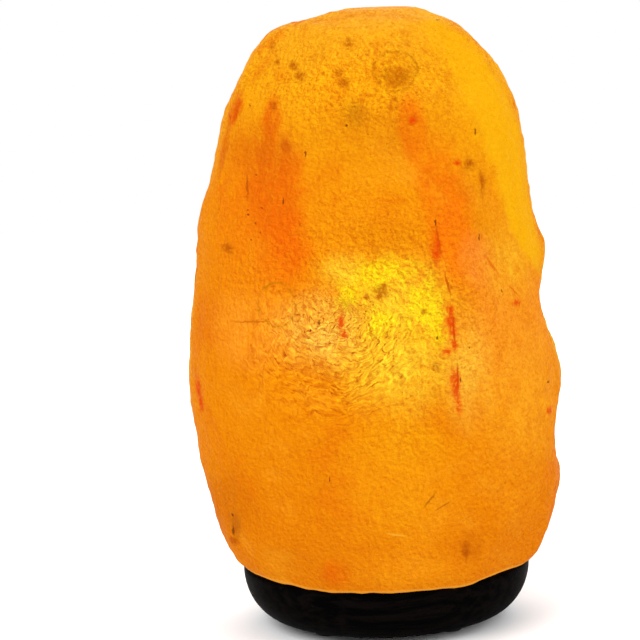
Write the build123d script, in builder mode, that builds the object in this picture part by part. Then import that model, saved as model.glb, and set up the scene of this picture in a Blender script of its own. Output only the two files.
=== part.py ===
"""Salt crystal lamp: a rough block of rock salt on a turned wooden base, lit from inside by a small bulb.

The block is bored from below. A lamp holder with a three-armed spring clip pushes up through the base into
that bore, and pulls out downwards so that the bulb can be changed. The bulb screws into the holder.

Lengths are millimetres. +Z is up, the origin is the middle of the footprint on the table, and -Y is the
front of the lamp. The bore, the base and the holder all share the Z axis; the block itself is irregular.
"""

from math import atan2, cos, degrees, exp, pi, radians, sin, sqrt, tan
import os

from build123d import *

os.makedirs("parts", exist_ok=True)

# ---------------------------------------------------------------- driving dimensions
# Wooden base: a shallow bowl turned on a lathe.
base_rim_radius = 62.5
base_foot_radius = 44.0
base_thickness = 24.0
base_rim_round = 1.5
base_bore_radius = 23.0
base_bore_bevel = 1.2

# Cord channel, routed under the base from its bore to the back rim.
channel_width = 9.0
channel_height = 9.5

# Rubber feet, stuck to the flat underside of the base.
foot_count = 4
foot_radius = 5.5
foot_thickness = 2.5
foot_edge_round = 0.8
foot_inset = 1.5

# Screws that hold the base to the block, each in a plastic anchor.
screw_circle_radius = 33.0
screw_angles = (0.0, 180.0, 270.0)
screw_shank_radius = 2.0
screw_head_radius = 4.0
screw_head_height = 2.8
screw_length = 34.0
screw_point_length = 4.0
screw_recess_depth = 1.6
screw_recess_width = 1.0
screw_recess_length = 4.4
screw_head_depth = 6.0
screw_clearance = 0.3
anchor_radius = 3.2
anchor_length = 24.0
anchor_fit = 0.05
anchor_slot_width = 0.8

# The block's outline above its flat foot, seen from the front and from the side. Each row gives a height
# and how far the block reaches to the left, right, front and back of the lamp's axis.
stone_rows = (
    (0.0, 62.5, 62.5, 65.5, 60.5),
    (8.0, 67.5, 69.0, 69.5, 64.5),
    (20.0, 74.5, 75.5, 71.5, 67.0),
    (34.0, 77.0, 77.5, 72.0, 68.5),
    (53.0, 79.5, 76.8, 71.0, 70.0),
    (76.0, 81.7, 76.5, 70.5, 68.5),
    (96.0, 81.8, 75.5, 70.0, 69.0),
    (114.0, 80.5, 73.2, 69.5, 70.5),
    (132.0, 77.8, 71.2, 68.5, 68.0),
    (151.0, 76.0, 68.6, 66.5, 64.0),
    (172.0, 69.5, 65.8, 62.0, 61.5),
    (194.0, 63.3, 62.8, 56.5, 55.0),
    (211.0, 55.5, 56.0, 50.0, 49.0),
    (224.0, 48.0, 47.0, 42.0, 42.5),
    (233.0, 37.0, 36.0, 32.5, 33.5),
    (239.5, 20.0, 20.0, 18.0, 18.0),
)
stone_squareness = 2.35
stone_outline_points = 24

# Swellings and hollows of the block: azimuth from +X, height above its foot, spread round the block in
# degrees, spread in height, and how far the surface is pushed out (or drawn in, where it is negative).
stone_lobes = (
    (2.0, 53.0, 16.0, 9.0, -3.0),
    (356.0, 78.0, 15.0, 11.0, 2.4),
    (358.0, 114.0, 15.0, 10.0, -4.3),
    (4.0, 133.0, 14.0, 9.0, 2.2),
    (182.0, 76.0, 14.0, 12.0, 0.6),
    (222.0, 176.0, 20.0, 34.0, -5.0),
    (235.0, 92.0, 18.0, 30.0, 2.6),
    (298.0, 128.0, 13.0, 46.0, 3.2),
    (318.0, 150.0, 14.0, 40.0, -3.6),
    (262.0, 172.0, 18.0, 26.0, -2.4),
    (322.0, 60.0, 16.0, 24.0, 2.2),
    (60.0, 118.0, 20.0, 34.0, -6.0),
    (96.0, 70.0, 22.0, 30.0, 3.5),
    (128.0, 142.0, 18.0, 30.0, 4.0),
    (146.0, 62.0, 18.0, 26.0, -4.5),
    (38.0, 52.0, 15.0, 24.0, 3.0),
    (100.0, 190.0, 20.0, 26.0, -3.5),
)

# Flat chips broken off the block: azimuth, elevation of the flat's normal and its distance from a point
# on the axis at stone_chip_centre above the foot.
stone_chip_centre = 120.0
stone_chips = (
    (226.0, 34.0, 92.0),
    (306.0, 36.0, 94.0),
    (318.0, -22.0, 106.8),
    (240.0, -26.0, 111.0),
    (270.0, 3.0, 69.4),
    (40.0, 12.0, 72.0),
    (74.0, 44.0, 97.0),
    (112.0, 30.0, 86.0),
    (128.0, -6.0, 78.5),
    (156.0, -26.0, 107.5),
    (64.0, -22.0, 100.0),
)

# Bore in the block, drilled from below.
cavity_radius = 22.0
cavity_tip_angle = 59.0
cavity_headroom = 14.0

# Bulb: a clear pygmy lamp on a 14 mm Edison screw cap.
bulb_radius = 13.0
bulb_length = 57.0
bulb_wall = 0.7
glass_fit = 0.1
glass_bottom_height = 12.0
cap_skirt_radius = 6.95
cap_wall = 0.35
cap_top_height = 22.0
cap_thread_height = 17.0
cap_thread_lead = 1.0
tip_radius = 2.4
tip_height = 1.2
insulator_height = 3.6
insulator_step = 0.6
turning_gap = 0.05
thread_pitch = 2.822
thread_crest_radius = 6.9
thread_root_radius = 6.1
thread_turns = 3.5
unscrew_turns = 3.5
thread_root_width = 1.25
thread_crest_width = 0.45
thread_clearance = 0.14
thread_bite = 0.12

# Lamp holder.
holder_set_up = 14.0
holder_radius = 14.0
holder_lower_radius = 9.5
holder_cap_height = 19.0
holder_cap_wall = 2.2
holder_cap_slope = 6.0
grip_groove_count = 14
grip_groove_radius = 0.9
grip_groove_height = 8.0
cord_hole_radius = 3.75
cord_hole_wall = 3.0
body_height = 30.0
body_collar_height = 8.0
body_taper = 1.4
body_rim_round = 1.0
spigot_length = 5.0
spigot_wall = 1.2
spigot_clearance = 0.1
carrier_thickness = 5.0
carrier_set_in = 2.0
carrier_clearance = 0.12
shell_wall = 0.4
shell_height = 18.0
shell_thread_turns = 4.25
shell_thread_lead = 1.5
shell_fit = 0.1
contact_width = 3.6
contact_hole_margin = 0.35
contact_thickness = 0.4
contact_rise = 2.6
contact_tip_gap = 0.1
rivet_radius = 1.2
rivet_head_radius = 1.9
rivet_head_clearance = 0.14
rivet_head_height = 0.6
rivet_tail = 1.2
terminal_width = 6.0
terminal_depth = 4.6
terminal_height = 6.0
terminal_hole_radius = 1.3
terminal_screw_radius = 1.3
terminal_screw_head_radius = 2.0
terminal_screw_head_height = 1.4
terminal_screw_slot = 0.6
terminal_fit = 0.05

# Spring clip: a steel ring with three bowed arms that grip the wall of the bore.
clip_arm_count = 3
clip_thickness = 0.6
clip_arm_width = 8.0
clip_arm_root = 16.0
clip_arm_height = 26.0
clip_arm_tip_inset = 3.5
clip_wall_gap = 0.3

# Glass stem, leads and filament inside the bulb.
stem_radius = 3.0
stem_height = 34.0
stem_flare_height = 3.0
stem_fit = 0.05
stem_press_height = 7.0
stem_press_thickness = 2.6
lead_radius = 0.35
lead_spread = 7.0
lead_rise = 9.0
lead_straight = 2.25
lead_bend_radius = 1.125
filament_turns = 11
filament_coil_radius = 0.7
filament_wire_radius = 0.16
support_radius = 0.2

# ---------------------------------------------------------------- levels and seats worked out from them
base_bottom = foot_thickness
base_top = base_bottom + base_thickness
foot_circle_radius = base_foot_radius - foot_inset - foot_radius
screw_places = [
    (screw_circle_radius * cos(radians(angle)), screw_circle_radius * sin(radians(angle)))
    for angle in screw_angles
]
holder_bottom = base_top + holder_set_up
cap_rim = holder_bottom + holder_cap_height
body_bottom = cap_rim + clip_thickness
body_top = body_bottom + body_height
body_top_radius = holder_radius - body_taper
spigot_radius = holder_radius - holder_cap_wall - spigot_clearance
chamber_radius = spigot_radius - spigot_wall
carrier_bottom = body_bottom + carrier_set_in
carrier_top = carrier_bottom + carrier_thickness
shell_groove_radius = thread_crest_radius + thread_clearance
shell_crest_radius = thread_root_radius + thread_clearance
shell_outer_radius = shell_groove_radius + shell_wall
rivet_spacing = 2 * (shell_groove_radius - rivet_head_clearance - rivet_head_radius)
contact_tail = rivet_radius + terminal_fit + contact_hole_margin
bulb_bottom = carrier_top + contact_rise + contact_tip_gap
bulb_top = bulb_bottom + bulb_length
cap_bottom = bulb_bottom + tip_height + insulator_height
cap_neck_top = bulb_bottom + cap_thread_height
cap_top = bulb_bottom + cap_top_height
cap_inner_radius = thread_root_radius - cap_wall
skirt_bottom = cap_neck_top + cap_skirt_radius - thread_root_radius
glass_bottom = bulb_bottom + glass_bottom_height
glass_neck_radius = cap_inner_radius - glass_fit
stem_top = bulb_bottom + stem_height
filament_height = stem_top + lead_rise
unscrew_travel = unscrew_turns * thread_pitch
cavity_top = bulb_top + unscrew_travel + cavity_headroom
cap_thread_start = cap_bottom + cap_thread_lead
shell_thread_start = cap_thread_start - shell_thread_lead * thread_pitch
rivet_places = [(-rivet_spacing / 2, 0), (rivet_spacing / 2, 0)]
clip_reach = sqrt((cavity_radius - clip_wall_gap) ** 2 - (clip_arm_width / 2) ** 2)


def swing(azimuth, other):
    """The angle between two azimuths, in degrees, the short way round."""
    return (azimuth - other + 180.0) % 360.0 - 180.0


def stone_point(turn, row):
    """A point of the block's outline at one row: a rounded square reaching as far as the row says."""
    height, left, right, front, back = row
    across, deep = cos(turn), sin(turn)
    power = 2.0 / stone_squareness
    x = (right if across > 0 else left) * abs(across) ** power * (1 if across > 0 else -1)
    y = (back if deep > 0 else front) * abs(deep) ** power * (1 if deep > 0 else -1)
    reach, azimuth = sqrt(x * x + y * y), degrees(atan2(y, x))
    push = sum(
        amount * exp(-((swing(azimuth, around) / spread) ** 2) - ((height - level) / rise) ** 2)
        for around, level, spread, rise, amount in stone_lobes
    )
    return (x * (reach + push) / reach, y * (reach + push) / reach)


def thread_ridge(foot_radius, crest_radius, height, turns):
    """One helical ridge from foot_radius to crest_radius, biting a little into the wall that carries it."""
    outwards = 1 if crest_radius > foot_radius else -1
    with BuildPart() as ridge:
        with BuildLine():
            path = Helix(thread_pitch, thread_pitch * turns, foot_radius, center=(0, 0, height))
        start = Plane(origin=path @ 0, z_dir=path % 0, x_dir=(1, 0, 0))
        with BuildSketch(start):
            with BuildLine():
                Polyline(
                    (-outwards * thread_bite, -thread_root_width / 2),
                    (crest_radius - foot_radius, -thread_crest_width / 2),
                    (crest_radius - foot_radius, thread_crest_width / 2),
                    (-outwards * thread_bite, thread_root_width / 2),
                    close=True,
                )
            make_face()
        sweep(path=path, is_frenet=True)
    return ridge.part


# ---------------------------------------------------------------- block of salt
with BuildPart() as salt_crystal:
    for row in stone_rows:
        with BuildSketch(Plane.XY.offset(base_top + row[0])):
            with BuildLine():
                turns = [2 * pi * step / stone_outline_points for step in range(stone_outline_points)]
                Spline(*[stone_point(turn, row) for turn in turns], periodic=True)
            make_face()
    loft()
    # Chips broken off the block leave flats.
    for azimuth, elevation, distance in stone_chips:
        outwards = Vector(
            cos(radians(elevation)) * cos(radians(azimuth)),
            cos(radians(elevation)) * sin(radians(azimuth)),
            sin(radians(elevation)),
        )
        middle = Vector(0, 0, base_top + stone_chip_centre)
        split(bisect_by=Plane(origin=middle + outwards * distance, z_dir=outwards), keep=Keep.BOTTOM)
    # Bore for the bulb and its holder, with the cone that the drill leaves.
    with BuildSketch(Plane.XZ):
        with BuildLine():
            Polyline(
                (0, base_top),
                (cavity_radius, base_top),
                (cavity_radius, cavity_top),
                (0, cavity_top + cavity_radius / tan(radians(cavity_tip_angle))),
                close=True,
            )
        make_face()
    revolve(axis=Axis.Z, mode=Mode.SUBTRACT)
    # Holes for the screw anchors.
    with BuildSketch(Plane.XY.offset(base_top)):
        with Locations(*screw_places):
            Circle(anchor_radius + anchor_fit)
    extrude(amount=anchor_length + screw_point_length, mode=Mode.SUBTRACT)
salt_crystal.part.label = "salt_crystal"

# ---------------------------------------------------------------- wooden base
with BuildPart() as wooden_base:
    with BuildSketch(Plane.XZ):
        with BuildLine():
            Polyline(
                (base_foot_radius, base_bottom),
                (base_bore_radius + base_bore_bevel, base_bottom),
                (base_bore_radius, base_bottom + base_bore_bevel),
                (base_bore_radius, base_top - base_bore_bevel),
                (base_bore_radius + base_bore_bevel, base_top),
                (base_rim_radius - base_rim_round, base_top),
            )
            CenterArc(
                center=(base_rim_radius - base_rim_round, base_top - base_rim_round),
                radius=base_rim_round,
                start_angle=0,
                arc_size=90,
            )
            EllipticalCenterArc(
                center=(base_foot_radius, base_top - base_rim_round),
                x_radius=base_rim_radius - base_foot_radius,
                y_radius=base_thickness - base_rim_round,
                start_angle=270,
                arc_size=90,
            )
        make_face()
    revolve(axis=Axis.Z)
    # Cord channel with a round roof, open below, from the bore out through the back rim.
    with BuildSketch(Plane.XZ):
        with Locations((0, base_bottom)):
            Rectangle(
                channel_width,
                channel_height - channel_width / 2,
                align=(Align.CENTER, Align.MIN),
            )
        with Locations((0, base_bottom + channel_height - channel_width / 2)):
            Circle(channel_width / 2)
    extrude(amount=-(base_rim_radius + base_rim_round), mode=Mode.SUBTRACT)
    # Screw holes, counterbored from below.
    with BuildSketch(Plane.XY.offset(base_bottom)):
        with Locations(*screw_places):
            Circle(screw_shank_radius + screw_clearance)
    extrude(amount=base_thickness, mode=Mode.SUBTRACT)
    with BuildSketch(Plane.XY.offset(base_bottom)):
        with Locations(*screw_places):
            Circle(screw_head_radius + screw_clearance)
    extrude(amount=screw_head_depth, mode=Mode.SUBTRACT)
wooden_base.part.label = "wooden_base"

with BuildPart() as rubber_feet:
    with BuildSketch(Plane.XY.offset(base_bottom)):
        with PolarLocations(foot_circle_radius, foot_count, start_angle=180 / foot_count):
            Circle(foot_radius)
    extrude(amount=-foot_thickness)
    fillet(rubber_feet.edges().group_by(Axis.Z)[0], radius=foot_edge_round)
rubber_feet.part.label = "rubber_feet"

# ---------------------------------------------------------------- screws and their anchors
screw_seat = base_bottom + screw_head_depth
screw_end = screw_seat + screw_length
with BuildPart() as base_screws:
    with BuildSketch(Plane.XY.offset(screw_seat)):
        with Locations(*screw_places):
            Circle(screw_head_radius)
    extrude(amount=-screw_head_height)
    fillet(base_screws.edges().group_by(Axis.Z)[0], radius=screw_head_height / 2)
    with BuildSketch(Plane.XY.offset(screw_seat)):
        with Locations(*screw_places):
            Circle(screw_shank_radius)
    extrude(amount=screw_length - screw_point_length)
    with Locations(*[Location((x, y, screw_end - screw_point_length)) for x, y in screw_places]):
        Cone(
            screw_shank_radius,
            screw_shank_radius / 4,
            screw_point_length,
            align=(Align.CENTER, Align.CENTER, Align.MIN),
        )
    # Cross recess for the screwdriver.
    with BuildSketch(Plane.XY.offset(screw_seat - screw_head_height)):
        with Locations(*screw_places):
            Rectangle(screw_recess_length, screw_recess_width)
            Rectangle(screw_recess_width, screw_recess_length)
    extrude(amount=screw_recess_depth, mode=Mode.SUBTRACT)
base_screws.part.label = "base_screws"

with BuildPart() as screw_anchors:
    with BuildSketch(Plane.XY.offset(base_top)):
        with Locations(*screw_places):
            Circle(anchor_radius)
            Circle(screw_shank_radius + anchor_fit, mode=Mode.SUBTRACT)
    extrude(amount=anchor_length)
    # Slots that let the upper half of each anchor spread.
    with BuildSketch(Plane.XY.offset(base_top + anchor_length / 2)):
        with Locations(*screw_places):
            Rectangle(2 * anchor_radius + anchor_slot_width, anchor_slot_width)
    extrude(amount=anchor_length / 2, mode=Mode.SUBTRACT)
screw_anchors.part.label = "screw_anchors"

# ---------------------------------------------------------------- lamp holder
with BuildPart() as holder_cap:
    with BuildSketch(Plane.XZ):
        with BuildLine():
            Polyline(
                (cord_hole_radius, holder_bottom),
                (holder_lower_radius, holder_bottom),
                (holder_radius, holder_bottom + holder_cap_slope),
                (holder_radius, cap_rim),
                (holder_radius - holder_cap_wall, cap_rim),
                (holder_radius - holder_cap_wall, holder_bottom + holder_cap_slope + cord_hole_wall / 2),
                (holder_lower_radius - holder_cap_wall, holder_bottom + cord_hole_wall),
                (cord_hole_radius, holder_bottom + cord_hole_wall),
                close=True,
            )
        make_face()
    revolve(axis=Axis.Z)
    # Finger grooves round the cap.
    with BuildSketch(Plane.XY.offset(holder_bottom + holder_cap_slope + grip_groove_radius)):
        with PolarLocations(holder_radius + grip_groove_radius / 2, grip_groove_count):
            Circle(grip_groove_radius)
    extrude(amount=grip_groove_height, mode=Mode.SUBTRACT)
holder_cap.part.label = "holder_cap"

with BuildPart() as spring_clip:
    with BuildSketch(Plane.XY.offset(cap_rim)):
        Circle(holder_radius)
        Circle(spigot_radius + spigot_clearance, mode=Mode.SUBTRACT)
    extrude(amount=clip_thickness)
    with BuildSketch(Plane.XZ):
        with BuildLine() as arm_outline:
            outer_run = Line((holder_radius - clip_thickness, cap_rim), (clip_arm_root, cap_rim))
            outer_bow = ThreePointArc(
                outer_run @ 1,
                (clip_reach, cap_rim + clip_arm_height / 2),
                (clip_reach - clip_arm_tip_inset, cap_rim + clip_arm_height),
            )
            offset(amount=clip_thickness, side=Side.LEFT)
        make_face()
    arm = extrude(amount=clip_arm_width / 2, both=True, mode=Mode.PRIVATE)
    with PolarLocations(0, clip_arm_count, start_angle=90):
        add(arm)
spring_clip.part.label = "spring_clip"

with BuildPart() as holder_body:
    with BuildSketch(Plane.XZ):
        with BuildLine():
            Polyline(
                (chamber_radius, body_bottom - spigot_length),
                (spigot_radius, body_bottom - spigot_length),
                (spigot_radius, body_bottom),
                (holder_radius, body_bottom),
                (holder_radius, body_bottom + body_collar_height),
                (body_top_radius, body_bottom + body_collar_height + body_taper),
                (body_top_radius, body_top),
                (shell_outer_radius + shell_fit, body_top),
                (shell_outer_radius + shell_fit, carrier_top),
                (chamber_radius, carrier_top),
                close=True,
            )
        make_face()
    revolve(axis=Axis.Z)
    fillet(holder_body.edges().group_by(Axis.Z)[-1], radius=body_rim_round)
holder_body.part.label = "holder_body"

with BuildPart() as contact_carrier:
    with BuildSketch(Plane.XY.offset(carrier_bottom)):
        Circle(chamber_radius - carrier_clearance)
        with Locations(*rivet_places):
            Circle(rivet_radius + terminal_fit, mode=Mode.SUBTRACT)
    extrude(amount=carrier_thickness)
contact_carrier.part.label = "contact_carrier"

shell_ridge = thread_ridge(
    shell_groove_radius, shell_crest_radius, shell_thread_start, shell_thread_turns
)
with BuildPart() as screw_shell:
    with BuildSketch(Plane.XY.offset(carrier_top)):
        Circle(shell_outer_radius)
        Circle(shell_groove_radius, mode=Mode.SUBTRACT)
    extrude(amount=shell_height)
    add(shell_ridge)
    # Lug at the foot of the shell, riveted to the carrier.
    with BuildSketch(Plane.XY.offset(carrier_top)):
        with Locations((rivet_spacing / 2, 0)):
            Rectangle(2 * (shell_groove_radius - rivet_spacing / 2), 2 * rivet_head_radius)
            Circle(rivet_radius + terminal_fit, mode=Mode.SUBTRACT)
    extrude(amount=contact_thickness)
screw_shell.part.label = "screw_shell"

with BuildPart() as centre_contact:
    with BuildSketch(Plane.XZ):
        with BuildLine() as leaf_outline:
            FilletPolyline(
                (-rivet_spacing / 2 - contact_tail, carrier_top),
                (-rivet_spacing / 2 + rivet_head_radius + contact_thickness, carrier_top),
                (-tip_radius / 2, carrier_top + contact_rise - contact_thickness),
                (tip_radius, carrier_top + contact_rise - contact_thickness),
                radius=contact_thickness,
            )
            offset(amount=contact_thickness, side=Side.LEFT)
        make_face()
    extrude(amount=contact_width / 2, both=True)
    with BuildSketch(Plane.XY.offset(carrier_top)):
        with Locations(rivet_places[0]):
            Circle(rivet_radius + terminal_fit)
    extrude(amount=contact_thickness, mode=Mode.SUBTRACT)
centre_contact.part.label = "centre_contact"

with BuildPart() as contact_rivets:
    with BuildSketch(Plane.XY.offset(carrier_top + contact_thickness)):
        with Locations(*rivet_places):
            Circle(rivet_head_radius)
    extrude(amount=rivet_head_height)
    with BuildSketch(Plane.XY.offset(carrier_bottom - rivet_tail)):
        with Locations(*rivet_places):
            Circle(rivet_radius)
    extrude(amount=rivet_tail + carrier_thickness + contact_thickness)
contact_rivets.part.label = "contact_rivets"

with BuildPart() as terminal_blocks:
    with Locations(*[(x, y, carrier_bottom) for x, y in rivet_places]):
        Box(
            terminal_width,
            terminal_depth,
            terminal_height,
            align=(Align.CENTER, Align.CENTER, Align.MAX),
        )
    # Rivet sockets above, screw holes below, and a wire hole across each block.
    with BuildSketch(Plane.XY.offset(carrier_bottom)):
        with Locations(*rivet_places):
            Circle(rivet_radius + terminal_fit)
    extrude(amount=-(rivet_tail + terminal_fit), mode=Mode.SUBTRACT)
    with BuildSketch(Plane.XY.offset(carrier_bottom - terminal_height)):
        with Locations(*rivet_places):
            Circle(terminal_screw_radius + terminal_fit)
    extrude(amount=terminal_height / 2, mode=Mode.SUBTRACT)
    with BuildSketch(Plane.XZ):
        with Locations(*[(x, carrier_bottom - terminal_height / 2) for x, y in rivet_places]):
            Circle(terminal_hole_radius)
    extrude(amount=terminal_depth, both=True, mode=Mode.SUBTRACT)
terminal_blocks.part.label = "terminal_blocks"

with BuildPart() as terminal_screws:
    with BuildSketch(Plane.XY.offset(carrier_bottom - terminal_height)):
        with Locations(*rivet_places):
            Circle(terminal_screw_head_radius)
    extrude(amount=-terminal_screw_head_height)
    with BuildSketch(Plane.XY.offset(carrier_bottom - terminal_height)):
        with Locations(*rivet_places):
            Circle(terminal_screw_radius)
    extrude(amount=terminal_height / 2 - terminal_hole_radius)
    with BuildSketch(Plane.XY.offset(carrier_bottom - terminal_height - terminal_screw_head_height)):
        with Locations(*rivet_places):
            Rectangle(2 * terminal_screw_head_radius, terminal_screw_slot)
    extrude(amount=terminal_screw_head_height / 2, mode=Mode.SUBTRACT)
terminal_screws.part.label = "terminal_screws"

# ---------------------------------------------------------------- bulb
with BuildPart() as tip_contact:
    with BuildSketch(Plane.XY.offset(bulb_bottom)):
        Circle(tip_radius)
    extrude(amount=tip_height - turning_gap)
    fillet(tip_contact.edges().group_by(Axis.Z)[0], radius=tip_height / 2)
tip_contact.part.label = "tip_contact"

with BuildPart() as cap_insulator:
    with Locations((0, 0, bulb_bottom + tip_height)):
        Cone(
            tip_radius + insulator_step,
            thread_root_radius - insulator_step,
            insulator_height,
            align=(Align.CENTER, Align.CENTER, Align.MIN),
        )
cap_insulator.part.label = "cap_insulator"

cap_ridge = thread_ridge(thread_root_radius, thread_crest_radius, cap_thread_start, thread_turns)
with BuildPart() as bulb_cap:
    with BuildSketch(Plane.XZ):
        with BuildLine():
            Polyline(
                (thread_root_radius - 2 * insulator_step, cap_bottom),
                (thread_root_radius, cap_bottom),
                (thread_root_radius, cap_neck_top),
                (cap_skirt_radius, skirt_bottom),
                (cap_skirt_radius, cap_top),
                (cap_skirt_radius - cap_wall, cap_top),
                (cap_skirt_radius - cap_wall, skirt_bottom),
                (cap_inner_radius, cap_neck_top),
                (cap_inner_radius, cap_bottom + cap_wall),
                (thread_root_radius - 2 * insulator_step, cap_bottom + cap_wall),
                close=True,
            )
        make_face()
    revolve(axis=Axis.Z)
    add(cap_ridge)
bulb_cap.part.label = "bulb_cap"


def envelope_face(inset):
    """Half of the bulb's outline, drawn in by inset, from the neck in the cap to the crown."""
    neck, belly = glass_neck_radius - inset, bulb_radius - inset
    belly_height = bulb_top - bulb_radius
    with BuildSketch(Plane.XZ) as face:
        with BuildLine():
            Line((0, glass_bottom), (neck, glass_bottom))
            Line((neck, glass_bottom), (neck, cap_neck_top))
            Spline((neck, cap_neck_top), (belly, belly_height), tangents=((0, 1), (0, 1)))
            CenterArc(center=(0, belly_height), radius=belly, start_angle=0, arc_size=90)
            Line((0, belly_height + belly), (0, glass_bottom))
        make_face()
    return face.sketch


with BuildPart() as bulb_glass:
    add(envelope_face(0))
    revolve(axis=Axis.Z)
    add(envelope_face(bulb_wall))
    revolve(axis=Axis.Z, mode=Mode.SUBTRACT)
bulb_glass.part.label = "bulb_glass"

stem_flare_radius = glass_neck_radius - bulb_wall - stem_fit
with BuildPart() as glass_stem:
    with BuildSketch(Plane.XZ):
        with BuildLine():
            Polyline(
                (0, glass_bottom),
                (stem_flare_radius, glass_bottom),
                (stem_flare_radius, glass_bottom + bulb_wall),
                (stem_radius, glass_bottom + stem_flare_height),
                (stem_radius, stem_top - stem_press_height),
                (stem_press_thickness / 2, stem_top - stem_press_height / 2),
                (stem_press_thickness / 2, stem_top),
                (0, stem_top),
                close=True,
            )
        make_face()
    revolve(axis=Axis.Z)
    # The flat pinch that seals the leads.
    with Locations((0, 0, stem_top)):
        Box(
            2 * stem_radius,
            stem_press_thickness,
            stem_press_height,
            align=(Align.CENTER, Align.CENTER, Align.MAX),
        )
glass_stem.part.label = "glass_stem"

with BuildPart() as lead_wires:
    for side in (-1, 1):
        with BuildLine():
            lead_path = FilletPolyline(
                (side * stem_radius / 2, 0, stem_top),
                (side * stem_radius / 2, 0, stem_top + lead_straight),
                (side * lead_spread, 0, filament_height - lead_straight),
                (side * lead_spread, 0, filament_height + filament_coil_radius),
                radius=lead_bend_radius,
            )
        with BuildSketch(Plane(origin=lead_path @ 0, z_dir=lead_path % 0)):
            Circle(lead_radius)
        sweep(path=lead_path)
lead_wires.part.label = "lead_wires"

with BuildPart() as filament:
    coil_length = 2 * (lead_spread - lead_radius)
    with BuildLine():
        coil_path = Helix(
            coil_length / filament_turns,
            coil_length,
            filament_coil_radius,
            center=(-coil_length / 2, 0, filament_height),
            direction=(1, 0, 0),
        )
    with BuildSketch(Plane(origin=coil_path @ 0, z_dir=coil_path % 0)):
        Circle(filament_wire_radius)
    sweep(path=coil_path, is_frenet=True)
filament.part.label = "filament"

with BuildPart() as support_wire:
    with BuildSketch(Plane.XY.offset(stem_top)):
        Circle(support_radius)
    extrude(amount=lead_rise - filament_coil_radius - filament_wire_radius - support_radius)
support_wire.part.label = "support_wire"

# ---------------------------------------------------------------- one file for each piece
for piece in (
    salt_crystal,
    wooden_base,
    rubber_feet,
    base_screws,
    screw_anchors,
    holder_cap,
    spring_clip,
    holder_body,
    contact_carrier,
    screw_shell,
    centre_contact,
    contact_rivets,
    terminal_blocks,
    terminal_screws,
    tip_contact,
    cap_insulator,
    bulb_cap,
    bulb_glass,
    glass_stem,
    lead_wires,
    filament,
    support_wire,
):
    export_step(piece.part, f"parts/{piece.part.label}.step")
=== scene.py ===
import math

import bpy
import numpy as np
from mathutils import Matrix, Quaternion, Vector


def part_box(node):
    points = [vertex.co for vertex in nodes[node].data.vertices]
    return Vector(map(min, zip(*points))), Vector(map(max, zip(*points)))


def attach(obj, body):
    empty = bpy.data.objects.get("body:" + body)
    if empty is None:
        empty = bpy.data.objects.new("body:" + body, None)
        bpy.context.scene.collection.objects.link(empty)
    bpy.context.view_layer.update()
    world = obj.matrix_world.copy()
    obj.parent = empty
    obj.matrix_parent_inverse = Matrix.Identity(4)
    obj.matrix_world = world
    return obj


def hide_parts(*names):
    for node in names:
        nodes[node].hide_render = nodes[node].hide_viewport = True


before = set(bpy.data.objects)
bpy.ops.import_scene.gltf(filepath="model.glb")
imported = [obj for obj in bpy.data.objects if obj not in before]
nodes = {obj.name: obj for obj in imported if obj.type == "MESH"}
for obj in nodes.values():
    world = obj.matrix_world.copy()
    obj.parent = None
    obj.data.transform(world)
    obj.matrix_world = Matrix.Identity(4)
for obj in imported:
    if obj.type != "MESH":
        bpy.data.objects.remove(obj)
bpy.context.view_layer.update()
print("frame loaded,", len(nodes), "nodes")

mm = 0.001  # a length on a mesh is in millimetres times this, the materials count in plain millimetres


def pickOnly(piece):
    # an operator acts on all that is selected, so this leaves just one piece selected
    bpy.ops.object.select_all(action="DESELECT")
    piece.select_set(True)
    bpy.context.view_layer.objects.active = piece


def copyOfNode(name, newName, seam=0.01 * mm):
    # a free copy of a CAD node, its loose triangles merged where corners are within the seam
    piece = nodes[name].copy()
    piece.data = nodes[name].data.copy()
    piece.name = newName
    piece.data.name = newName
    for key in list(piece.keys()):
        del piece[key]
    piece.parent = None
    bpy.context.scene.collection.objects.link(piece)
    piece.data.materials.clear()
    pickOnly(piece)
    bpy.ops.mesh.customdata_custom_splitnormals_clear()
    bpy.ops.object.mode_set(mode="EDIT")
    bpy.ops.mesh.select_all(action="SELECT")
    bpy.ops.mesh.remove_doubles(threshold=seam)
    bpy.ops.object.mode_set(mode="OBJECT")
    return piece


def readPoints(piece):
    points = np.zeros(len(piece.data.vertices) * 3)
    piece.data.vertices.foreach_get("co", points)
    return points.reshape(-1, 3)


def writePoints(piece, points):
    piece.data.vertices.foreach_set("co", points.ravel())
    piece.data.update()


def applyModifier(piece, kind, **settings):
    pickOnly(piece)
    modifier = piece.modifiers.new(kind.lower(), kind)
    for key, value in settings.items():
        setattr(modifier, key, value)
    bpy.ops.object.modifier_apply(modifier=modifier.name)


def newMaterial(name):
    material = bpy.data.materials.new(name)
    material.use_nodes = True
    tree = material.node_tree
    return material, tree, tree.nodes["Principled BSDF"]


def addNode(tree, kind, values=None, **settings):
    # a shader node with its sockets set to plain values or joined to other nodes
    made = tree.nodes.new("ShaderNode" + kind)
    for key, value in settings.items():
        setattr(made, key, value)
    for key, value in (values or {}).items():
        if isinstance(value, bpy.types.NodeSocket):
            tree.links.new(value, made.inputs[key])
        else:
            made.inputs[key].default_value = value
    return made


def calc(tree, operation, first, second=0.0, third=0.0):
    return addNode(tree, "Math", {0: first, 1: second, 2: third}, operation=operation).outputs[0]


def times(tree, first, second):
    return calc(tree, "MULTIPLY", first, second)


def vectorCalc(tree, operation, first, second=(0.0, 0.0, 0.0)):
    return addNode(tree, "VectorMath", {0: first, 1: second}, operation=operation).outputs


def scaled(tree, place, factor):
    return addNode(tree, "VectorMath", {0: place, "Scale": factor}, operation="SCALE").outputs[0]


def splitPlace(tree, place):
    return addNode(tree, "SeparateXYZ", {0: place}).outputs


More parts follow.
